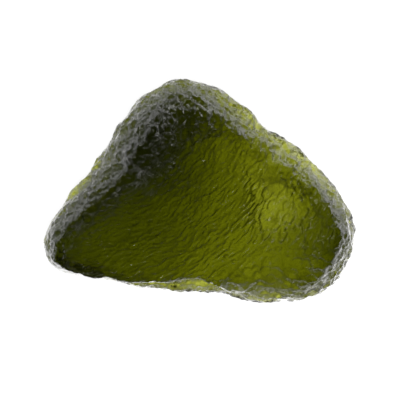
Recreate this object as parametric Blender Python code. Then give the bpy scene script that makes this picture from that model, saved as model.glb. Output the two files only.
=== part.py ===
"""A moldavite: one natural piece of etched green glass, lying on a small flat spot of its back.

The broad dished face looks up, +X runs along the longest side and +Y runs from the thin lower edge
to the thick apex. All working sizes are in millimetres and become metres at the end.
"""

import math

import bmesh
import bpy
import numpy as np
from mathutils import Vector, noise

# Driving dimensions, in millimetres
LENGTH = 36.1
WIDTH = 26.0
THICKNESS = 13.6
MILLIMETRE = 0.001

# The flat spot on the back that the stone rests on
SPOT_CENTRE = (-1.6, -1.0)
SPOT_RADII = (6.4, 4.6)

# Outline seen from above, anticlockwise from the right tip
OUTLINE = [
    (18.05, -5.2), (17.5, -2.4), (15.9, 0.4), (13.2, 3.1), (9.9, 5.9), (7.5, 7.7), (5.2, 9.9),
    (2.9, 11.6), (0.1, 12.7), (-2.4, 13.0), (-4.4, 12.4), (-6.3, 11.2), (-7.9, 9.4), (-9.8, 6.7),
    (-12.0, 3.2), (-15.2, -0.5), (-16.9, -2.9), (-18.05, -5.4), (-17.7, -7.2), (-16.2, -8.9),
    (-13.2, -9.8), (-8.2, -10.9), (-4.0, -11.55), (0.1, -11.7), (2.9, -12.0), (5.6, -12.7),
    (8.6, -13.0), (11.4, -12.9), (14.4, -11.6), (16.4, -9.6), (17.6, -7.3),
]
CENTRE = (0.5, -2.0)

# Around the rim: compass angle in degrees, height of the silhouette, width of the outer bevel,
# height of the crest above the face, how far the crest reaches inwards, fullness of the back,
# and width of the thin ledge below the face
RIM = [
    (15, 2.6, 3.1, 1.7, 2.8, 2.4, 0.0),
    (40, 2.7, 3.2, 0.9, 2.8, 2.5, 0.0),
    (75, 3.1, 3.6, 1.4, 3.4, 2.6, 0.0),
    (101, 3.6, 3.9, 3.5, 4.5, 2.6, 0.0),
    (125, 3.5, 4.1, 4.8, 4.4, 2.6, 0.0),
    (142, 3.4, 3.9, 3.9, 4.0, 2.6, 0.0),
    (158, 3.1, 4.2, 2.2, 3.5, 2.6, 0.0),
    (175, 2.8, 4.5, 0.9, 3.6, 2.6, 0.0),
    (190, 2.9, 3.2, 0.3, 2.8, 2.6, 0.0),
    (200, 3.6, 1.0, 0.0, 2.4, 3.8, 0.0),
    (211, 3.6, 0.4, 0.0, 2.4, 5.0, 0.0),
    (222, 2.2, 0.4, 0.0, 2.4, 4.8, 0.4),
    (237, 2.0, 0.5, 0.0, 2.4, 3.2, 1.0),
    (264, 1.7, 0.8, 0.0, 2.4, 3.0, 1.5),
    (278, 1.5, 1.2, 0.2, 2.4, 2.8, 1.1),
    (290, 1.6, 2.2, 0.4, 2.4, 2.6, 0.0),
    (306, 1.8, 2.4, 0.8, 2.4, 2.4, 0.0),
    (325, 2.4, 2.2, 2.4, 3.0, 2.4, 0.0),
    (350, 3.0, 2.4, 3.8, 3.6, 2.4, 0.0),
]
BEVEL_ROUNDNESS = 1.3

# The broad face: its level at the middle, its falls along X and Y, and its bends
FACE_LEVEL = 7.4
FACE_FALL_X = -0.20
FACE_RISE_Y = 0.08
FACE_BEND_X = 0.009
FACE_BEND_Y = -0.004
FACE_MIDDLE_Y = -3.0

# The thin ledge below the face: its level, the lean of the wall behind it, how the wall's upper edge
# is worn down, and the levels of the blank's rows at the wall's foot and top
LEDGE_TOP = 3.6
WALL_LEAN = 0.15
WALL_EDGE_DROP = 0.2
WALL_EDGE_WIDTH = 0.35
WALL_FOOT_LEVEL = 0.4
WALL_TOP_LEVEL = 0.6

# Broad scoops and swells: centre, radii, turn in degrees, depth or height
BACK_SCOOPS = [
    (10.4, -0.6, 11.5, 9.0, -35, 1.7),
    (1.5, 7.4, 8.5, 5.5, 10, 1.2),
    (-12.8, -1.8, 6.4, 4.5, 40, 1.2),
]
FACE_SCOOPS = [
    (10.6, -11.4, 7.0, 3.6, 10, 1.2),
    (4.5, 4.5, 6.5, 4.2, 60, 0.5),
    (-12.8, -6.6, 9.0, 6.5, 20, 1.7),
]
FACE_SWELLS = [
    (10.6, -6.4, 8.6, 5.8, 20, 1.1),
    (-4.4, 7.4, 4.9, 3.8, 20, 0.7),
]

# Lumps and etched dents, which leave a crisp edge alone and are whole at the soft gap from it
LUMP_SIZE = 6.0
LUMP_HEIGHT = 0.36
DENT_SIZE = 2.9
DENT_DEPTH = 0.40
DENT_REACH = 0.66
DENT_ON_FACE = 0.18
CRISP_GAP = 0.6
SOFT_GAP = 2.6
SEED = Vector((3.7, 11.3, 5.9))

# Mesh of the uncut blank: divisions along X, Y and Z, its stretch, the share of the way out that its
# lid covers, how its rows crowd towards the outline, and from where the underside's rows lie evenly
DIVISIONS = (36, 28, 20)
STRETCH = 1.4
LID_SHARE = 0.66
RIM_CROWDING = 0.72
EVEN_FROM = 0.6


def smoothstep(low, high, value):
    share = min(max((value - low) / (high - low), 0.0), 1.0)
    return share * share * (3.0 - 2.0 * share)


def closed_curve(points, steps):
    """Points on a closed Catmull-Rom curve through the given ones."""
    knots = [Vector(point) for point in points]
    count = len(knots)
    found = []
    for i in range(count):
        a, b, c, d = (knots[(i + k - 1) % count] for k in range(4))
        for j in range(steps):
            t = j / steps
            bend = 2 * a - 5 * b + 4 * c - d
            twist = 3 * b - a - 3 * c + d
            found.append(0.5 * (2 * b + (c - a) * t + bend * t**2 + twist * t**3))
    return found


def polar_outline():
    """The outline as rising angles about the centre, and the radius at each."""
    arms = [point - Vector(CENTRE) for point in closed_curve(OUTLINE, 24)]
    angles = np.array([math.atan2(arm.y, arm.x) % math.tau for arm in arms])
    order = np.argsort(angles)
    return angles[order], np.array([arm.length for arm in arms])[order]


def rim_curves():
    """Each column of RIM eased from row to row, sampled every two degrees."""
    angles = [row[0] for row in RIM]
    samples = np.arange(0.0, 360.0, 2.0)
    columns = []
    for column in range(1, len(RIM[0])):
        values = []
        for sample in samples:
            after = next((i for i, angle in enumerate(angles) if angle > sample), 0)
            before = (after - 1) % len(RIM)
            span = (angles[after] - angles[before]) % 360.0
            share = smoothstep(0.0, 1.0, ((sample - angles[before]) % 360.0) / span)
            values.append(RIM[before][column] * (1 - share) + RIM[after][column] * share)
        columns.append(np.array(values))
    return samples, columns


OUTLINE_ANGLES, OUTLINE_RADII = polar_outline()
RIM_ANGLES, RIM_COLUMNS = rim_curves()


def outline_radius(angle):
    return float(np.interp(angle, OUTLINE_ANGLES, OUTLINE_RADII, period=math.tau))


def rim_at(angle):
    """The columns of RIM after its first, at an angle."""
    degrees = math.degrees(angle) % 360.0
    return [float(np.interp(degrees, RIM_ANGLES, column, period=360.0)) for column in RIM_COLUMNS]


def scoop(x, y, centre_x, centre_y, radius_x, radius_y, turn, depth):
    """Depth of one broad scoop, or height of a swell, which runs out softly to its radii."""
    c, s = math.cos(math.radians(turn)), math.sin(math.radians(turn))
    along = ((x - centre_x) * c + (y - centre_y) * s) / radius_x
    across = (-(x - centre_x) * s + (y - centre_y) * c) / radius_y
    return depth * smoothstep(0.0, 1.0, 1.0 - math.hypot(along, across))


def spot_distance(x, y):
    """1 on the edge of the flat spot, less inside it."""
    return math.hypot((x - SPOT_CENTRE[0]) / SPOT_RADII[0], (y - SPOT_CENTRE[1]) / SPOT_RADII[1])


def face_height(x, y):
    up = y - FACE_MIDDLE_Y
    height = FACE_LEVEL + FACE_FALL_X * x + FACE_RISE_Y * up + FACE_BEND_X * x * x + FACE_BEND_Y * up * up
    height += sum(scoop(x, y, *row) for row in FACE_SWELLS)
    return height - sum(scoop(x, y, *row) for row in FACE_SCOOPS)


def round_off(gap, width):
    """0 at the outline, rising steeply and then gently to 1 at width from it."""
    rise = min(gap / width, 1.0)
    return (1.0 - (1.0 - rise) ** BEVEL_ROUNDNESS) ** (1.0 / BEVEL_ROUNDNESS)


def place_on_arm(angle, share):
    """The point of the plan at a share of the way from the centre to the outline."""
    radius = outline_radius(angle)
    return CENTRE[0] + share * radius * math.cos(angle), CENTRE[1] + share * radius * math.sin(angle)


def top_point(angle, share):
    """A point of the upper surface. Where there is a ledge, some rows of the blank stand on its wall."""
    silhouette, bevel, crest, reach, _, ledge = rim_at(angle)
    radius = outline_radius(angle)
    stepped = smoothstep(0.0, 0.5, ledge)
    wall_top, wall_foot = 1.0 - (ledge + WALL_LEAN) / radius, 1.0 - ledge / radius
    moved = float(np.interp(share, (0.0, WALL_TOP, WALL_FOOT, 1.0), (0.0, wall_top, wall_foot, 1.0)))
    share_here = share + stepped * (moved - share)
    x, y = place_on_arm(angle, share_here)
    gap = radius * (1.0 - share_here)
    full = face_height(x, y) + crest * math.exp(-((max(gap - bevel, 0.0) / reach) ** 1.6))
    plain = silhouette + (full - silhouette) * round_off(gap, bevel)
    ledge_level = silhouette + (LEDGE_TOP - silhouette) * round_off(gap, bevel)
    edge = WALL_EDGE_DROP * math.exp(-((max(gap - ledge - WALL_LEAN, 0.0) / WALL_EDGE_WIDTH) ** 2))
    climb = smoothstep(0.0, 1.0, (WALL_FOOT - share) / (WALL_FOOT - WALL_TOP))
    climbed = ledge_level + (full - edge - ledge_level) * climb
    return Vector((x, y, plain + stepped * (climbed - plain)))


def back_point(angle, share):
    """A point of the underside: flat on the resting spot, then curling up evenly to the silhouette."""
    x, y = place_on_arm(angle, share)
    off_spot = spot_distance(x, y) - 1.0
    if off_spot <= 0.0:
        return Vector((x, y, 0.0))
    silhouette, *_, fullness, _ = rim_at(angle)
    turn = min(off_spot / (spot_distance(*place_on_arm(angle, 1.0)) - 1.0), 1.0)
    evenly = math.sin(turn * math.pi / 2) ** (2.0 / fullness)
    outwards = turn + (evenly - turn) * smoothstep(0.0, EVEN_FROM, turn)
    curl = 1.0 - max(1.0 - outwards**fullness, 0.0) ** (1.0 / fullness)
    if turn < 1.0:
        x, y = place_on_arm(angle, 1.0 - (1.0 - share) * (1.0 - outwards) / (1.0 - turn))
    scooped = sum(scoop(x, y, *row) for row in BACK_SCOOPS)
    scooped *= smoothstep(0.0, 0.25, off_spot) * (1.0 - smoothstep(0.6, 1.0, outwards))
    return Vector((x, y, silhouette * curl + scooped))


def crowded(share):
    """Crowds the rows of the blank towards the outline."""
    return (1.0 - RIM_CROWDING) * share + RIM_CROWDING * math.sin(share * math.pi / 2)


WALL_FOOT = crowded(1.0 - WALL_FOOT_LEVEL * (1.0 - LID_SHARE))
WALL_TOP = crowded(1.0 - WALL_TOP_LEVEL * (1.0 - LID_SHARE))


def stone_point(blank):
    """Carries a point of the blank's skin to the stone's skin."""
    u, v, w = blank
    angle = math.atan2(v, u * STRETCH) % math.tau
    flatness = max(abs(u), abs(v))
    share = flatness * LID_SHARE if abs(w) > 0.999 else 1.0 - abs(w) * (1.0 - LID_SHARE)
    return top_point(angle, crowded(share)) if w >= 0.0 else back_point(angle, share)


def blank_mesh():
    """A cube whose edges are divided along each axis on its own."""
    bm = bmesh.new()
    bmesh.ops.create_cube(bm, size=2.0)
    for axis, divisions in enumerate(DIVISIONS):
        along = [e for e in bm.edges if abs((e.verts[0].co - e.verts[1].co)[axis]) > 1e-6]
        bmesh.ops.subdivide_edges(bm, edges=along, cuts=divisions - 1, use_grid_fill=True)
    return bm


def dent_depth(point):
    """Depth of the etched bowls, which meet in sharp ridges."""
    distances, _ = noise.voronoi(point / DENT_SIZE + SEED)
    return DENT_DEPTH * max(0.0, 1.0 - (distances[0] / DENT_REACH) ** 2)


def room_at_rim(point):
    """How far a point is from the face's edge, along or down, or the bevel's width if that is more."""
    arm = Vector((point.x - CENTRE[0], point.y - CENTRE[1]))
    angle = math.atan2(arm.y, arm.x) % math.tau
    below = max(face_height(point.x, point.y) - point.z, 0.0)
    return max(outline_radius(angle) - arm.length + below, rim_at(angle)[1])


def etch(bm):
    """Lumps and dents, which leave the resting spot and the crisp edges alone and are faint on the face."""
    bm.normal_update()
    moves = []
    for vertex in bm.verts:
        point, normal = vertex.co.copy(), vertex.normal.copy()
        away = smoothstep(1.0, 1.35, spot_distance(point.x, point.y)) if normal.z < 0.0 else 1.0
        away *= smoothstep(CRISP_GAP, SOFT_GAP, room_at_rim(point))
        faceward = smoothstep(0.80, 0.97, normal.z) * smoothstep(9.0, 3.0, point.x)
        lump = LUMP_HEIGHT * noise.noise(point / LUMP_SIZE + SEED)
        dent = dent_depth(point) * (1.0 - (1.0 - DENT_ON_FACE) * faceward)
        moves.append(normal * (lump - dent) * away)
    for vertex, move in zip(bm.verts, moves):
        vertex.co += move


def fit_to_size(bm):
    """Brings the stone to its driving sizes, centred over the origin with the flat spot at zero."""
    points = np.array([vertex.co for vertex in bm.verts])
    low, high = points.min(axis=0), points.max(axis=0)
    wanted = (LENGTH, WIDTH, THICKNESS)
    for vertex in bm.verts:
        for axis in range(3):
            base = low[2] if axis == 2 else (low[axis] + high[axis]) / 2
            vertex.co[axis] = (vertex.co[axis] - base) * wanted[axis] / (high[axis] - low[axis])
        vertex.co *= MILLIMETRE


def green_glass():
    material = bpy.data.materials.new("moldavite_glass")
    material.use_nodes = True
    shader = material.node_tree.nodes["Principled BSDF"]
    shader.inputs["Base Color"].default_value = (0.16, 0.19, 0.02, 1.0)
    shader.inputs["Metallic"].default_value = 0.0
    shader.inputs["Roughness"].default_value = 0.22
    shader.inputs["IOR"].default_value = 1.49
    shader.inputs["Transmission Weight"].default_value = 0.6
    return material


def build_stone():
    bm = blank_mesh()
    for vertex in bm.verts:
        vertex.co = stone_point(vertex.co)
    etch(bm)
    fit_to_size(bm)
    bmesh.ops.recalc_face_normals(bm, faces=bm.faces)
    mesh = bpy.data.meshes.new("moldavite")
    bm.to_mesh(mesh)
    bm.free()
    mesh.shade_smooth()
    mesh.materials.append(green_glass())
    return bpy.data.objects.new("moldavite", mesh)


def main():
    for old in list(bpy.data.objects):
        bpy.data.objects.remove(old)
    collection = bpy.data.collections.new("moldavite_stone")
    bpy.context.scene.collection.children.link(collection)
    collection.objects.link(build_stone())


main()
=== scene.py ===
# %% [markdown]
# # A moldavite on a bright pane
#
# A moldavite is a piece of natural green glass. Water in the ground has etched its skin into bowls,
# ridges and flow lines, and a photographer likes to light it from behind, so that the thick parts stay
# dark and the thin ones glow. This lesson takes the plain solid of one such stone, carves the etching
# into a fine copy of it, and gives that copy a glass that darkens with its depth.

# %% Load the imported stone
import math

import bmesh
import bpy
import numpy as np
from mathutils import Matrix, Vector


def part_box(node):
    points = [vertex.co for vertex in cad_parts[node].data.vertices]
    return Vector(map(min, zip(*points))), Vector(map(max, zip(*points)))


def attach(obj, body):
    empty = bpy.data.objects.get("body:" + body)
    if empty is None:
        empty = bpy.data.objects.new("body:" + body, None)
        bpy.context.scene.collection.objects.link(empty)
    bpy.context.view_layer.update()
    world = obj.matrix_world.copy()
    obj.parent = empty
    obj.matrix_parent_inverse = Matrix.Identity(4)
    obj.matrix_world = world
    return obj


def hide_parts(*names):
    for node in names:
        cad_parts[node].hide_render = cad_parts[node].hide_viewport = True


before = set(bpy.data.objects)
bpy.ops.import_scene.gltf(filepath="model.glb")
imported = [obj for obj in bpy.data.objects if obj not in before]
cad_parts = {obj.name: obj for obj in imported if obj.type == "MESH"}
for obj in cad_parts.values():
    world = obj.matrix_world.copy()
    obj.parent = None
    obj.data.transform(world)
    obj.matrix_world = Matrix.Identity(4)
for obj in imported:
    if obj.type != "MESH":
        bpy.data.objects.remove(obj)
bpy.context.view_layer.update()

MM = 0.001
stone_low, stone_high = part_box("moldavite")
stone_size = stone_high - stone_low
print("the solid measures", [round(side / MM, 2) for side in stone_size], "mm")

# %% [markdown]
# ## Places on the stone
#
# The stone lies on its back and the camera looks straight down on it, so a place that is seen in the
# picture is a place in the plane of X and Y. One function turns a pixel of the 400 by 400 picture into
# millimetres on the stone, from the pixels where the stone's outline begins and ends.

# %% Turn a pixel of the picture into a place on the stone
PICTURE_SIDE = 400
OUTLINE_LEFT, OUTLINE_RIGHT = 42, 356.5
OUTLINE_TOP, OUTLINE_BOTTOM = 78, 304.5
pixel = stone_size.x / MM / (OUTLINE_RIGHT - OUTLINE_LEFT)


def seen_at(across, down):
    """The place in millimetres of a pixel of the picture."""
    x = (across - (OUTLINE_LEFT + OUTLINE_RIGHT) / 2) * pixel
    y = ((OUTLINE_TOP + OUTLINE_BOTTOM) / 2 - down) * pixel
    return x, y


print("one pixel is", round(pixel, 4), "mm")

# %% [markdown]
# ## Merge a copy of the solid
#
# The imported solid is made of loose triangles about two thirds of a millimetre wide. A copy has its
# doubled points merged, so that it is one closed skin, and its triangles joined in pairs, because a
# Subdivision Surface rounds four-sided faces more evenly than triangles. The solid itself stays as it is.

# %% Copy the solid and join its triangles
LEVEL_ENOUGH = math.radians(50)
SQUARE_ENOUGH = math.radians(60)
SAME_POINT = 0.0001 * MM

skin_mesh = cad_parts["moldavite"].data.copy()
skin_mesh.name = "stone_skin"
bm = bmesh.new()
bm.from_mesh(skin_mesh)
bmesh.ops.remove_doubles(bm, verts=bm.verts, dist=SAME_POINT)
bmesh.ops.join_triangles(
    bm, faces=bm.faces, angle_face_threshold=LEVEL_ENOUGH, angle_shape_threshold=SQUARE_ENOUGH
)
bm.to_mesh(skin_mesh)
bm.free()
stone = bpy.data.objects.new("etched_stone", skin_mesh)
bpy.context.scene.collection.objects.link(stone)
print("the merged copy has", len(skin_mesh.polygons), "faces")

# %% [markdown]
# ## An even skin to carve
#
# The etching needs points far closer than the solid has them. A Subdivision Surface rounds the facets
# off first, because it follows the form that they stand for. A voxel Remesh then lays a net of even
# squares over it, and a few rounds of Smooth take the steps out of that net. An even net matters: bowls
# carved on long thin faces would come out ragged.

# %% Make the even skin
SKIN_VOXEL = 0.105 * MM
SKIN_SMOOTHING = 8

rounding = stone.modifiers.new("rounding", "SUBSURF")
rounding.levels = rounding.render_levels = 2
evening = stone.modifiers.new("evening", "REMESH")
evening.mode = "VOXEL"
evening.voxel_size = SKIN_VOXEL
evening.use_smooth_shade = True
settling = stone.modifiers.new("settling", "SMOOTH")
settling.factor = 0.5
settling.iterations = SKIN_SMOOTHING


def settle(piece):
    """Replaces a piece's mesh by what its modifiers make of it, and clears them."""
    shown = piece.evaluated_get(bpy.context.evaluated_depsgraph_get())
    finished = bpy.data.meshes.new_from_object(shown)
    finished.name = piece.name
    piece.modifiers.clear()
    piece.data = finished


settle(stone)
print("the even skin has", len(stone.data.polygons), "faces")

# %% [markdown]
# ## Where each kind of etching lies
#
# The skin isn't the same all over. The crest and the outer bevels are a net of small bowls, the broad
# face has flow lines, the right shoulder has little crescents and the thin lower corner has scales. A
# painter would use weight paint here. A script can paint too: a region is a few corners listed in
# pixels of the picture, and each point's weight comes from its distance to that region's edge.

# %% Read the points of the skin
count = len(stone.data.vertices)
places = np.empty(count * 3)
stone.data.vertices.foreach_get("co", places)
places = places.reshape(-1, 3) / MM
facing = np.empty(count * 3)
stone.data.vertex_normals.foreach_get("vector", facing)
facing = facing.reshape(-1, 3)
print("the skin has", count, "points to paint")


# %% Helpers that paint a weight on every point
def ease(low, high, value):
    """0 at low, 1 at high and a soft run between them. The run falls where low is above high."""
    share = np.clip((value - low) / (high - low), 0, 1)
    return share * share * (3 - 2 * share)


def region(corners, blur):
    """1 inside a closed outline of picture pixels, 0 outside, with a soft edge of blur millimetres."""
    outline = [seen_at(*corner) for corner in corners]
    x, y = places[:, 0], places[:, 1]
    nearest = np.full(count, np.inf)
    inside = np.zeros(count, bool)
    for (ax, ay), (bx, by) in zip(outline, outline[1:] + outline[:1]):
        length = (bx - ax) ** 2 + (by - ay) ** 2
        along = np.clip(((x - ax) * (bx - ax) + (y - ay) * (by - ay)) / length, 0, 1)
        nearest = np.minimum(nearest, np.hypot(x - ax - along * (bx - ax), y - ay - along * (by - ay)))
        crosses = (ay > y) != (by > y)
        with np.errstate(divide="ignore", invalid="ignore"):
            inside ^= crosses & (x < ax + (y - ay) * (bx - ax) / (by - ay))
    return ease(-blur, blur, np.where(inside, nearest, -nearest))


def store(name, weights):
    """Keeps one number per point on the mesh, where the node trees can read it."""
    layer = stone.data.attributes.new(name, "FLOAT", "POINT")
    layer.data.foreach_set("value", weights.astype(np.float32))
    print(name, "covers", round(float(weights.mean()) * 100), "% of the skin")


# %% [markdown]
# The three smooth regions are painted on the upper side alone. The broad face's corners run beyond the
# crisp edge at the lower left, so that its smooth glass reaches right up to that edge.

# %% Paint the broad face, the shoulder and the scales
BROAD_FACE = [
    (66, 272), (72, 250), (84, 234), (98, 219), (120, 195), (143, 172), (163, 158), (184, 150), (206, 138),
    (222, 133), (240, 143), (256, 160), (268, 185), (276, 215), (270, 240), (250, 262), (205, 278),
    (150, 284), (120, 290), (80, 284),
]
RIGHT_SHOULDER = [
    (236, 140), (262, 145), (300, 172), (330, 205), (340, 235), (325, 252), (290, 258), (262, 250),
    (250, 225), (246, 190), (236, 165),
]
LOWER_CORNER = [
    (232, 262), (262, 250), (300, 250), (335, 248), (350, 262), (330, 300), (270, 312), (228, 300),
]

upper_side = ease(-0.1, 0.25, facing[:, 2])
broad_face = upper_side * region(BROAD_FACE, blur=0.9)
shoulder = upper_side * region(RIGHT_SHOULDER, blur=1.4)
lower_corner = upper_side * region(LOWER_CORNER, blur=1.2)
store("flow", broad_face)
store("crescent", shoulder)
store("scale", lower_corner)

# %% [markdown]
# The net of bowls covers what the other regions leave, and it is weaker on the worn spot that the stone
# rests on. It is also weaker on the steep walls: seen along the wall, deep bowls would only make the
# outline ragged.

# %% Paint the net of bowls
WALL_SHARE = 0.3
WORN_SPOT_HEIGHT = 0.9
CALM_FACE, CALM_SHOULDER, CALM_CORNER, CALM_WORN_SPOT = 0.93, 0.55, 0.6, 0.6

worn_spot = (1 - upper_side) * ease(WORN_SPOT_HEIGHT, WORN_SPOT_HEIGHT / 3, places[:, 2])
calmed = CALM_FACE * broad_face + CALM_SHOULDER * shoulder + CALM_CORNER * lower_corner
left_over = np.clip(1 - calmed - CALM_WORN_SPOT * worn_spot, 0, 1)
not_a_wall = ease(0.05, 0.45, np.abs(facing[:, 2]))
store("etch", left_over * (WALL_SHARE + (1 - WALL_SHARE) * not_a_wall))
underside = ease(0.1, -0.3, facing[:, 2])

# %% [markdown]
# ## Bowls that can be named
#
# Some bowls, pits and grooves are large enough to be told apart in the picture. They are listed one by
# one, each with its middle and two widths in pixels, its turn in degrees and its depth in millimetres. A
# raised lip round each one is what catches the light, and a bowl with a negative depth is a ridge.

# %% Places of the named bowls
APEX_BOWLS = [
    (171, 92, 13, 12, 0, 0.30), (183, 91, 11, 10, 20, 0.26), (198, 95, 12, 11, 0, 0.26),
    (145, 135, 10, 15, -15, 0.26), (155, 115, 9, 13, -20, 0.22), (161, 103, 8, 9, 0, 0.18),
    (165, 143, 10, 5, 20, 0.16),
]
SHOULDER_BOWLS = [
    (300, 168, 19, 10, 38, 0.34), (325, 197, 13, 12, 0, 0.30), (332, 208, 14, 13, 0, 0.30),
    (332, 221, 13, 12, 0, 0.28), (257, 128, 9, 8, 0, 0.2), (264, 137, 8, 8, 0, 0.18),
]
FACE_PITS = [
    (162, 222, 8, 5, 5, 0.12), (226, 256, 6, 5, 0, 0.34), (230, 248, 4, 4, 0, 0.22),
    (254, 242, 5, 5, 0, 0.24), (158, 236, 5, 5, 0, 0.24), (207, 227, 4, 4, 0, 0.20),
    (130, 204, 4, 4, 0, 0.18), (155, 244, 4, 4, 0, 0.18), (234, 261, 7, 4, 0, 0.24),
]
FACE_GROOVES = [
    (240, 149, 4, 12, -35, 0.16), (208, 236, 4, 20, -40, 0.20), (233, 225, 4, 10, -40, 0.20),
    (248, 205, 4, 9, -40, 0.18),
]
CRACKS = [
    (210, 277, 4, 11, -50, 0.26), (216, 272, 4, 13, -58, 0.28), (222, 267, 4, 11, -62, 0.26),
    (213, 282, 4, 10, -70, 0.22),
]
BRIGHT_RIDGE = [(152, 190, 4, 11, -50, -0.12)]

# %% Carve the named bowls
LIP_SHARE, LIP_PLACE, LIP_WIDTH = 0.28, 1.08, 0.16

carved = np.zeros(count)
named_bowls = APEX_BOWLS + SHOULDER_BOWLS + FACE_PITS + FACE_GROOVES + CRACKS + BRIGHT_RIDGE
for across, down, wide, tall, turned, depth in named_bowls:
    x, y = seen_at(across, down)
    cosine, sine = math.cos(math.radians(turned)), math.sin(math.radians(turned))
    right, up = places[:, 0] - x, places[:, 1] - y
    along = (right * cosine + up * sine) / (wide * pixel / 2)
    aside = (up * cosine - right * sine) / (tall * pixel / 2)
    away = np.hypot(along, aside)
    bowl = np.clip(1 - away**2, 0, 1)
    lip = LIP_SHARE * np.exp(-(((away - LIP_PLACE) / LIP_WIDTH) ** 2))
    carved += depth * (bowl - lip) * upper_side
store("carve", carved)
print(len(named_bowls), "bowls, pits and grooves were set by hand")

# %% [markdown]
# ## Node trees as arithmetic
#
# The etching and the glass are both worked out by nodes. A height such as `depth * (1 - d * d)` takes
# four nodes and reads badly when each is made and linked by hand. One small class lets a socket be
# added and multiplied like a number, and each operator adds its Math node behind the scenes.

# %% A socket that does arithmetic
class Wire:
    """An output socket. Arithmetic with it adds Math nodes to its tree."""

    def __init__(self, tree, socket):
        self.tree = tree
        self.socket = socket

    def out(self, name):
        """Another output of the same node."""
        return Wire(self.tree, self.socket.node.outputs[name])

    def __add__(self, other):
        return self.tree.math("ADD", self, other)

    def __sub__(self, other):
        return self.tree.math("SUBTRACT", self, other)

    def __rsub__(self, other):
        return self.tree.math("SUBTRACT", other, self)

    def __mul__(self, other):
        return self.tree.math("MULTIPLY", self, other)

    def __truediv__(self, other):
        return self.tree.math("DIVIDE", self, other)

    def __rtruediv__(self, other):
        return self.tree.math("DIVIDE", other, self)

    def __pow__(self, other):
        return self.tree.math("POWER", self, other)

    __radd__ = __add__
    __rmul__ = __mul__


# %% A tree with one method that makes any node
class Tree:
    """A node tree that is built by calls."""

    def __init__(self, tree):
        self.tree = tree

    def node(self, kind, settings=None, *values, **named):
        """Makes a node: first its settings, then its sockets by place or by name."""
        made = self.tree.nodes.new(kind)
        for name, setting in (settings or {}).items():
            setattr(made, name, setting)
        sockets = [socket for socket in made.inputs if socket.enabled]
        chosen = list(zip(sockets, values))
        for name, value in named.items():
            wanted = name.replace("_", " ").lower()
            chosen.append((next(s for s in sockets if s.name.lower() == wanted), value))
        for socket, value in chosen:
            if isinstance(value, Wire):
                self.tree.links.new(value.socket, socket)
            else:
                socket.default_value = value
        outputs = [socket for socket in made.outputs if socket.enabled]
        return Wire(self, outputs[0]) if outputs else made

    def math(self, operation, *values):
        return self.node("ShaderNodeMath", {"operation": operation}, *values)

    def vector(self, operation, *values, **named):
        return self.node("ShaderNodeVectorMath", {"operation": operation}, *values, **named)


# %% [markdown]
# ## The etching
#
# Each bowl is one cell of a Voronoi texture. The distance to the cell's middle gives a round hollow,
# and where two hollows meet they leave a sharp ridge, which is just what water does to glass. The flow
# lines are noise stretched along arcs. Geometry Nodes add up all these heights, weigh each by its
# painted region and push every point of the skin in along its normal. Every size is a named input of
# the tree, so a finer or a deeper etching is one number away.

# %% Sizes of the etching, in millimetres
SIZES = {
    "Cell Width": 0.55,
    "Cell Depth": 0.19,
    "Bowl Width": 0.88,
    "Bowl Depth": 0.20,
    "Dent Width": 1.7,
    "Dent Depth": 0.20,
    "Flow Spacing": 0.26,
    "Flow Length": 1.8,
    "Flow Depth": 0.62,
    "Groove Spacing": 0.75,
    "Groove Depth": 0.17,
    "Crescent Width": 0.70,
    "Crescent Depth": 0.30,
    "Scale Width": 1.2,
    "Scale Depth": 0.26,
    "Pore Width": 0.36,
    "Pore Depth": 0.06,
    "Grain Width": 0.30,
    "Grain Depth": 0.07,
    "Seed": 4.0,
}

# %% Start the etching tree
etching_group = bpy.data.node_groups.new("etching", "GeometryNodeTree")
sockets = etching_group.interface
sockets.new_socket("Geometry", in_out="OUTPUT", socket_type="NodeSocketGeometry")
sockets.new_socket("Geometry", in_out="INPUT", socket_type="NodeSocketGeometry")
sockets.new_socket("Glass", in_out="INPUT", socket_type="NodeSocketMaterial")
for name, value in SIZES.items():
    sockets.new_socket(name, in_out="INPUT", socket_type="NodeSocketFloat").default_value = value

etching = Tree(etching_group)
given = etching.node("NodeGroupInput")


def painted(name):
    """A weight that was stored on the points."""
    return etching.node("GeometryNodeInputNamedAttribute", {"data_type": "FLOAT"}, name=name)


print("the tree has", len(SIZES), "named sizes")

# %% [markdown]
# ### Where the nodes look
#
# All patterns are laid out in millimetres. A slow noise moves each place a little before the cells are
# drawn, because etched bowls aren't perfectly round, and the seed slides the whole pattern along.

# %% Place every point in millimetres
WANDER_BY = 0.55
seed = given.out("Seed")
seed_shift = etching.node("ShaderNodeCombineXYZ", None, seed * 7.3, seed * 3.1, 0.0)
position = etching.node("GeometryNodeInputPosition")
unshifted = etching.vector("SCALE", position, scale=1 / MM)
in_mm = etching.vector("ADD", unshifted, seed_shift)
wander = etching.node("ShaderNodeTexNoise", None, vector=in_mm, scale=0.9, detail=2.0)
wandering = etching.vector("SUBTRACT", wander.out("Color"), (0.5, 0.5, 0.5))
warped = etching.vector("ADD", in_mm, etching.vector("SCALE", wandering, scale=WANDER_BY))
patchy = etching.node("ShaderNodeTexNoise", None, vector=in_mm, scale=0.45, detail=1.0)

# %% [markdown]
# ### Round bowls in four sizes
#
# The hollow of a bowl is 1 - d², where d is the distance to its middle. Three sizes of bowl lie over
# each other on the crest and the bevels, and fine pores lie everywhere else. Places are squeezed along
# Z, which draws the cells out upright, so that they look round from above also on a slope.

# %% Draw the bowls, dents and pores
SQUEEZE = (1.0, 1.0, 0.62)


def hollow_at(away):
    """1 in the middle of a bowl and 0 from its rim outwards."""
    return etching.math("MAXIMUM", 1 - away * away, 0.0)


def cell_bowls(place, width, rim):
    """One round bowl in each cell, with its rim at that share of the cell's width."""
    nearest = etching.node(
        "ShaderNodeTexVoronoi", {"feature": "F1"}, vector=place, scale=1 / width, randomness=1.0
    )
    return hollow_at(nearest / rim)


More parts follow.
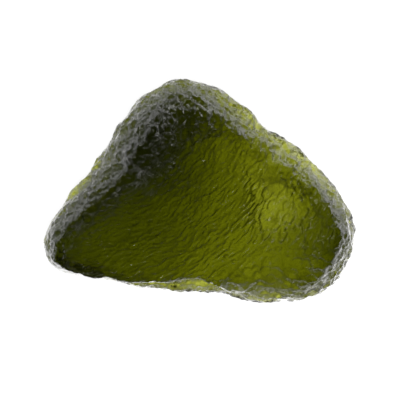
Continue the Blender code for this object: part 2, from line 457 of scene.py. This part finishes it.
squeezed = etching.vector("MULTIPLY", warped, SQUEEZE)
cells = cell_bowls(squeezed, given.out("Cell Width"), 0.66)
bowls = cell_bowls(squeezed, given.out("Bowl Width"), 0.62)
dents = cell_bowls(squeezed, given.out("Dent Width"), 0.66)
pores = cell_bowls(warped, given.out("Pore Width"), 0.62)

# %% [markdown]
# ### Flow lines
#
# The melt flowed before it froze, and the etching has laid its streaks bare. They run in arcs round a
# point beyond the upper left of the stone. Distance from that point and distance along the arc serve as
# the two directions of a noise that is squeezed one way and stretched the other.

# %% Draw the flow lines and the grooves
FLOW_CENTRE = (-14.8, 14.8)
FLOW_TURN_RADIUS = 21.0
FLOW_DRIFT = 1.6
GROOVE_LENGTH = 1.4
GROOVE_SHARPNESS = 14

stone_place = etching.node("ShaderNodeSeparateXYZ", None, unshifted)
from_x = stone_place.out("X") - FLOW_CENTRE[0]
from_y = stone_place.out("Y") - FLOW_CENTRE[1]
arc_radius = (from_x * from_x + from_y * from_y) ** 0.5
along_arc = etching.math("ARCTAN2", from_y, from_x) * FLOW_TURN_RADIUS
drift = etching.node("ShaderNodeTexNoise", None, vector=in_mm, scale=0.28, detail=1.0)
outwards = arc_radius + drift * FLOW_DRIFT


def flow_lines(spacing, length, detail):
    """Noise drawn out along the arcs, from 0 to 1."""
    across, along = outwards / spacing, along_arc / length
    place = etching.node("ShaderNodeCombineXYZ", None, across, along, given.out("Seed"))
    return etching.node("ShaderNodeTexNoise", None, vector=place, scale=1.0, detail=detail, roughness=0.6)


flow = flow_lines(given.out("Flow Spacing"), given.out("Flow Length"), 3.0)
ripple = flow_lines(given.out("Groove Spacing"), given.out("Flow Length") * GROOVE_LENGTH, 2.0) - 0.5
grooves = etching.math("MAXIMUM", 1 - etching.math("ABSOLUTE", ripple) * GROOVE_SHARPNESS, 0.0)

# %% [markdown]
# ### Crescents and scales
#
# On the right shoulder only one wall of each bowl is left, as a bright crescent, and at the lower corner
# the bowls overlap like scales. Both are bowls whose floor leans: one wall is steep and the other runs
# out level.

# %% Draw the crescents, the scales and the grain
CRESCENT_LEAN = (-0.9, -0.3, 0.0)
SCALE_LEAN = (0.15, 0.9, 0.0)
CRESCENT_STRETCH = 0.72


def leaning_bowls(place, width, rim, lean):
    """Bowls whose floor leans towards one side."""
    nearest = etching.node(
        "ShaderNodeTexVoronoi", {"feature": "F1"}, vector=place, scale=1 / width, randomness=0.9
    )
    offset = etching.vector("SUBTRACT", place, nearest.out("Position"))
    uphill = etching.vector("DOT_PRODUCT", offset, lean).out("Value") / width
    hollow = hollow_at(nearest / rim)
    return hollow * 0.6 + uphill * etching.math("MINIMUM", hollow * 3, 1.0)


across, along = arc_radius + wander * 0.5, along_arc * CRESCENT_STRETCH
crescent_place = etching.node("ShaderNodeCombineXYZ", None, across, along, stone_place.out("Z"))
crescents = leaning_bowls(crescent_place, given.out("Crescent Width"), 0.62, CRESCENT_LEAN)
scales = leaning_bowls(warped, given.out("Scale Width"), 0.64, SCALE_LEAN)
grain_scale = 1 / given.out("Grain Width")
grain = etching.node("ShaderNodeTexNoise", None, vector=in_mm, scale=grain_scale, detail=2.0)

# %% [markdown]
# ### Add the heights up and carve
#
# Every pattern is weighed by its painted region, and the cells and flow lines also by slow patches, so
# that some places are etched more than others. The last term lifts the net by about its mean depth,
# so that the carved stone is neither thinner nor thicker than the solid. Set Position then moves each
# point in along its normal.

# %% Carve the skin
NET_LIFT = 0.27
CELLS_EVERYWHERE, CELLS_IN_PATCHES = 0.35, 1.3
FLOW_EVERYWHERE, FLOW_IN_PATCHES = 0.45, 1.1

cell_share = CELLS_EVERYWHERE + patchy * CELLS_IN_PATCHES
flow_share = FLOW_EVERYWHERE + patchy * FLOW_IN_PATCHES
cut = (
    cells * cell_share * given.out("Cell Depth") * painted("etch")
    + bowls * given.out("Bowl Depth") * painted("etch")
    + dents * given.out("Dent Depth") * painted("etch")
    + (flow - 0.5) * flow_share * given.out("Flow Depth") * painted("flow")
    + grooves * given.out("Groove Depth") * painted("flow")
    + pores * patchy * given.out("Pore Depth") * (1 - painted("etch"))
    + crescents * given.out("Crescent Depth") * painted("crescent")
    + scales * given.out("Scale Depth") * painted("scale")
    + (grain - 0.5) * given.out("Grain Depth")
    + painted("carve")
    - NET_LIFT * painted("etch")
)
inwards = etching.vector("SCALE", etching.node("GeometryNodeInputNormal"), scale=cut * -MM)
carved_skin = etching.node("GeometryNodeSetPosition", None, geometry=given.out("Geometry"), offset=inwards)
whole = etching.node("GeometryNodeRealizeInstances", None, geometry=carved_skin)
dressed = etching.node("GeometryNodeSetMaterial", None, geometry=whole, material=given.out("Glass"))
etching.node("NodeGroupOutput", None, dressed)
print("the etching tree has", len(etching_group.nodes), "nodes")

# %% [markdown]
# ## Glass that darkens with its depth
#
# The stone is one body of clear green glass. Its colour isn't on its skin: light loses a share of its
# red and green and nearly all of its blue for each millimetre that it crosses. Plain Volume Absorption
# does that, so the thick crest goes nearly black and the thin lower edge turns pale. The glass scatters
# light a little, and a clear coat over it gives the sharp glints of the etched ridges. Both wear in
# patches, as the skin of a stone does that has lain in gravel.

# %% Make the glass
WEAR_WIDTH = 2.2 * MM
WEAR_BEGINS, WEAR_FULL = 0.4, 0.62
FRESH_ROUGHNESS = 0.28
ROUGHNESS_BY_WEAR = 0.03
GLINT_LOST_BY_WEAR = 0.15


def new_material(name):
    """An empty node material and the tree to build it with."""
    material = bpy.data.materials.new(name)
    material.use_nodes = True
    material.node_tree.nodes.clear()
    return material, Tree(material.node_tree)


green_glass, glass_tree = new_material("etched_green_glass")
on_stone = glass_tree.node("ShaderNodeTexCoord").out("Object")
patches = glass_tree.node("ShaderNodeTexNoise", None, vector=on_stone, scale=1 / WEAR_WIDTH, detail=3.0)
wear = glass_tree.node("ShaderNodeMapRange", None, patches, WEAR_BEGINS, WEAR_FULL)
surface = glass_tree.node(
    "ShaderNodeBsdfPrincipled",
    None,
    Base_Color=(1, 1, 1, 1),
    Roughness=FRESH_ROUGHNESS + wear * ROUGHNESS_BY_WEAR,
    IOR=1.49,
    Transmission_Weight=1.0,
    Specular_Tint=(0.3, 0.3, 0.3, 1),
    Coat_Weight=1.0 - wear * GLINT_LOST_BY_WEAR,
    Coat_Roughness=0.1,
)
depth_tint = glass_tree.node("ShaderNodeVolumeAbsorption", None, Color=(0.61, 0.63, 0.0, 1), Density=1100)
glass_tree.node("ShaderNodeOutputMaterial", None, surface=surface, volume=depth_tint)
print("the glass has", len(green_glass.node_tree.nodes), "nodes")

# %% [markdown]
# ## Etch the skin
#
# The tree is hung on the stone as a modifier. Its sizes are set by each socket's identifier, because
# a socket's name is only its label. Then the result is made a plain mesh.

# %% Run the etching tree on the stone
carving = stone.modifiers.new("etching", "NODES")
carving.node_group = etching_group
identifiers = {
    item.name: item.identifier
    for item in sockets.items_tree
    if item.item_type == "SOCKET" and item.in_out == "INPUT"
}
carving[identifiers["Glass"]] = green_glass
for name, value in SIZES.items():
    carving[identifiers[name]] = value
settle(stone)


def triangles(mesh):
    return sum(len(face.vertices) - 2 for face in mesh.polygons)


print("the etched skin has", triangles(stone.data), "triangles")

# %% [markdown]
# ## Spend the triangles where they are seen
#
# The skin has more triangles than a printer's file should. Decimate takes away those that matter least,
# and a vertex group tells it to take more of them from the underside than from the top.

# %% Thin the skin out
SKIN_TRIANGLES = 196000
KEPT_ON_TOP = 0.02
COARSER_BELOW = 0.5
LEVELS = 5

coarser = stone.vertex_groups.new(name="coarser")
for level in range(LEVELS + 1):
    chosen = np.flatnonzero(np.round(underside * LEVELS) == level)
    coarser.add(chosen.tolist(), KEPT_ON_TOP + COARSER_BELOW * level / LEVELS, "REPLACE")
thinning = stone.modifiers.new("thinning", "DECIMATE")
thinning.ratio = SKIN_TRIANGLES / triangles(stone.data)
thinning.vertex_group = "coarser"
thinning.vertex_group_factor = 1.0
settle(stone)
stone.data.shade_smooth()
print("the etched stone has", triangles(stone.data), "triangles")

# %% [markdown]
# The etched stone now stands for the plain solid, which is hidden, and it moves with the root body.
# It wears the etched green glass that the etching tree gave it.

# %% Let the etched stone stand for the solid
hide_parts("moldavite")
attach(stone, "root")

# %% [markdown]
# ## A pale, bright pane for a floor
#
# The stone lies on a pane that glows and lets the light from below through. A shadow can't fall on a
# floor that glows, so the soft shade round the stone is painted on: the floor is a set of rings that
# follow the stone's outline, and each ring says how dark it is. First the outline is measured, as the
# stone's reach in 96 directions.

# %% Measure how far the stone reaches
DIRECTIONS = 96

points = np.empty(len(stone.data.vertices) * 3)
stone.data.vertices.foreach_get("co", points)
points = points.reshape(-1, 3) / MM
turns = np.arctan2(points[:, 1], points[:, 0]) / (2 * math.pi)
sector = (turns * DIRECTIONS).round().astype(int) % DIRECTIONS
reach = np.zeros(DIRECTIONS)
np.maximum.at(reach, sector, np.hypot(points[:, 0], points[:, 1]))
print("the stone reaches", round(float(reach.min()), 1), "to", round(float(reach.max()), 1), "mm")

# %% Build the floor from rings round the outline
FLOOR_DROP = 0.2
# How far a ring lies beyond the outline in millimetres, and how dark it is.
SHADE_RINGS = [
    (-9.0, 0.55), (-3.0, 0.55), (0.0, 0.38), (2.0, 0.24), (4.5, 0.12), (8.0, 0.04), (12.0, 0.0),
    (1500.0, 0.0),
]

corners, darkness = [], []
for beyond, dark in SHADE_RINGS:
    for step in range(DIRECTIONS):
        around = 2 * math.pi * step / DIRECTIONS
        away = reach[step] + beyond
        corners.append((away * math.cos(around) * MM, away * math.sin(around) * MM, -FLOOR_DROP * MM))
        darkness.append(dark)
faces = [tuple(range(DIRECTIONS))]
for ring in range(len(SHADE_RINGS) - 1):
    for step in range(DIRECTIONS):
        here, after = ring * DIRECTIONS + step, ring * DIRECTIONS + (step + 1) % DIRECTIONS
        faces.append((here, here + DIRECTIONS, after + DIRECTIONS, after))
floor_mesh = bpy.data.meshes.new("floor")
floor_mesh.from_pydata(corners, [], faces)
floor_mesh.attributes.new("shade", "FLOAT", "POINT").data.foreach_set("value", darkness)
floor = bpy.data.objects.new("floor", floor_mesh)
bpy.context.scene.collection.objects.link(floor)
print("the floor has", len(floor_mesh.polygons), "faces")

# %% [markdown]
# The pane is mostly clear and glows a little. Its shade is seen by the camera alone: the light that
# comes up through the floor into the stone isn't weakened by it.

# %% Make the pane
GLOW_SHARE = 0.2

pale_pane, pane = new_material("pale_pane")
shade = pane.node("ShaderNodeAttribute", {"attribute_name": "shade"}).out("Fac")
lit = 1 - shade * pane.node("ShaderNodeLightPath").out("Is Camera Ray")
glow = pane.node("ShaderNodeEmission", None, Strength=lit)
lit_grey = pane.node("ShaderNodeCombineColor", None, lit, lit, lit)
clear = pane.node("ShaderNodeBsdfTransparent", None, lit_grey)
glowing_pane = pane.node("ShaderNodeMixShader", None, GLOW_SHARE, clear, glow)
pane.node("ShaderNodeOutputMaterial", None, glowing_pane)
floor.data.materials.append(pale_pane)

# %% [markdown]
# ## Studio light
#
# All the light comes from the world behind everything, as a function of its direction. One large lamp
# lies under the pane and fades with the angle from its middle, so the stone glows. A weak band round
# the horizon fills the outer bevels, and small softboxes give the glints: the ones at the upper left
# light the crest and the crescents, and the low ones all round light the stone's walls.

# %% Start the world and a helper that reads a curve
studio = bpy.data.worlds.new("studio")
bpy.context.scene.world = studio
studio.use_nodes = True
studio.node_tree.nodes.clear()
sky = Tree(studio.node_tree)
direction = sky.node("ShaderNodeTexCoord").out("Generated")


def read_off(value, stops):
    """A number read off a line through the stops, each a place and a level."""
    low, high = stops[0][0], stops[-1][0]
    highest = max(level for place, level in stops)
    ramp = sky.node("ShaderNodeValToRGB", None, (value - low) / (high - low))
    handles = ramp.socket.node.color_ramp.elements
    greys = [(level / highest,) * 3 + (1,) for place, level in stops]
    handles[0].position, handles[0].color = 0.0, greys[0]
    handles[1].position, handles[1].color = 1.0, greys[-1]
    for (place, level), grey in list(zip(stops, greys))[1:-1]:
        handles.new((place - low) / (high - low)).color = grey
    return ramp * highest


# %% Light the pane from below
LAMP_TOWARDS = (0.12, -0.17, -0.978)
# Degrees away from the lamp's middle, and the strength there.
LAMP_BY_ANGLE = [
    (0, 2.9), (10, 2.5), (20, 1.75), (30, 1.15), (40, 0.75), (50, 0.45), (62, 0.25), (80, 0.12),
    (180, 0.05),
]
# Height of the direction, from -1 straight down to 1 straight up, and the strength there.
LAMP_BY_HEIGHT = [(-0.1, 1.0), (0.3, 0.03)]
BAND_BY_HEIGHT = [
    (-0.9, 0.0), (-0.75, 0.12), (-0.5, 0.16), (-0.3, 0.12), (-0.1, 0.06), (0.1, 0.05), (0.3, 0.04),
    (0.7, 0.0),
]

closeness = sky.vector("DOT_PRODUCT", direction, LAMP_TOWARDS).out("Value")
lamp_angle = sky.math("ARCCOSINE", closeness) * (180 / math.pi)
height = sky.node("ShaderNodeSeparateXYZ", None, direction).out("Z")
light = read_off(lamp_angle, LAMP_BY_ANGLE) * read_off(height, LAMP_BY_HEIGHT)
light = light + read_off(height, BAND_BY_HEIGHT)

# %% Hang the softboxes
# Each has its direction, its radius in degrees and its strength.
SOFTBOXES = [
    ((-0.55, 0.70, 0.42), 10, 5.0),
    ((0.20, 0.90, 0.40), 10, 6.0),
    ((-0.88, 0.10, 0.40), 9, 3.0),
    ((0.85, 0.25, 0.10), 9, 0.8),
    ((0.10, -0.95, 0.10), 9, 0.8),
    ((-0.60, 0.75, -0.25), 25, 0.9),
    ((0.50, 0.80, -0.25), 28, 1.6),
    ((-0.34, -0.94, -0.24), 9, 2.5),
    ((-0.94, -0.34, -0.24), 9, 4.0),
    ((0.94, -0.34, -0.24), 9, 3.0),
    ((0.34, -0.94, -0.24), 9, 2.5),
    ((0.92, 0.40, -0.24), 9, 5.0),
]
EVEN_CORE = 0.6

for towards, box_radius, power in SOFTBOXES:
    middle = tuple(Vector(towards).normalized())
    closeness = sky.vector("DOT_PRODUCT", direction, middle).out("Value")
    rim = math.cos(math.radians(box_radius))
    core = math.cos(math.radians(box_radius * EVEN_CORE))
    light = light + sky.node(
        "ShaderNodeMapRange", {"interpolation_type": "SMOOTHSTEP"}, closeness, rim, core, 0.0, power
    )
sky.node("ShaderNodeOutputWorld", None, sky.node("ShaderNodeBackground", None, Strength=light))
print("the studio has", len(SOFTBOXES), "softboxes and one lamp under the pane")

# %% [markdown]
# ## The camera
#
# The camera looks straight down from far off through a long lens, so the outline hardly changes with
# height. Its distance follows from the lens and from how wide the picture is on the stone. A light ray
# crosses the etched skin many times, so Cycles is allowed more bounces than it would take by itself.

# %% Set the camera up
LENS, SENSOR = 180, 36
SHARP_HEIGHT = 4.5 * MM
BOUNCES = 24

camera = bpy.data.objects.new("camera", bpy.data.cameras.new("camera"))
bpy.context.scene.collection.objects.link(camera)
camera.data.lens = LENS
camera.data.sensor_width = SENSOR
camera.data.clip_end = 10
distance = PICTURE_SIDE * pixel * MM * LENS / SENSOR
middle_x, middle_y = seen_at(PICTURE_SIDE / 2, PICTURE_SIDE / 2)
camera.location = (middle_x * MM, middle_y * MM, SHARP_HEIGHT + distance)
scene = bpy.context.scene
scene.camera = camera
scene.view_settings.view_transform = "Standard"
scene.cycles.max_bounces = BOUNCES
scene.cycles.transmission_bounces = BOUNCES
scene.cycles.use_denoising = True
print("the camera hangs", round(distance, 3), "m above the stone")
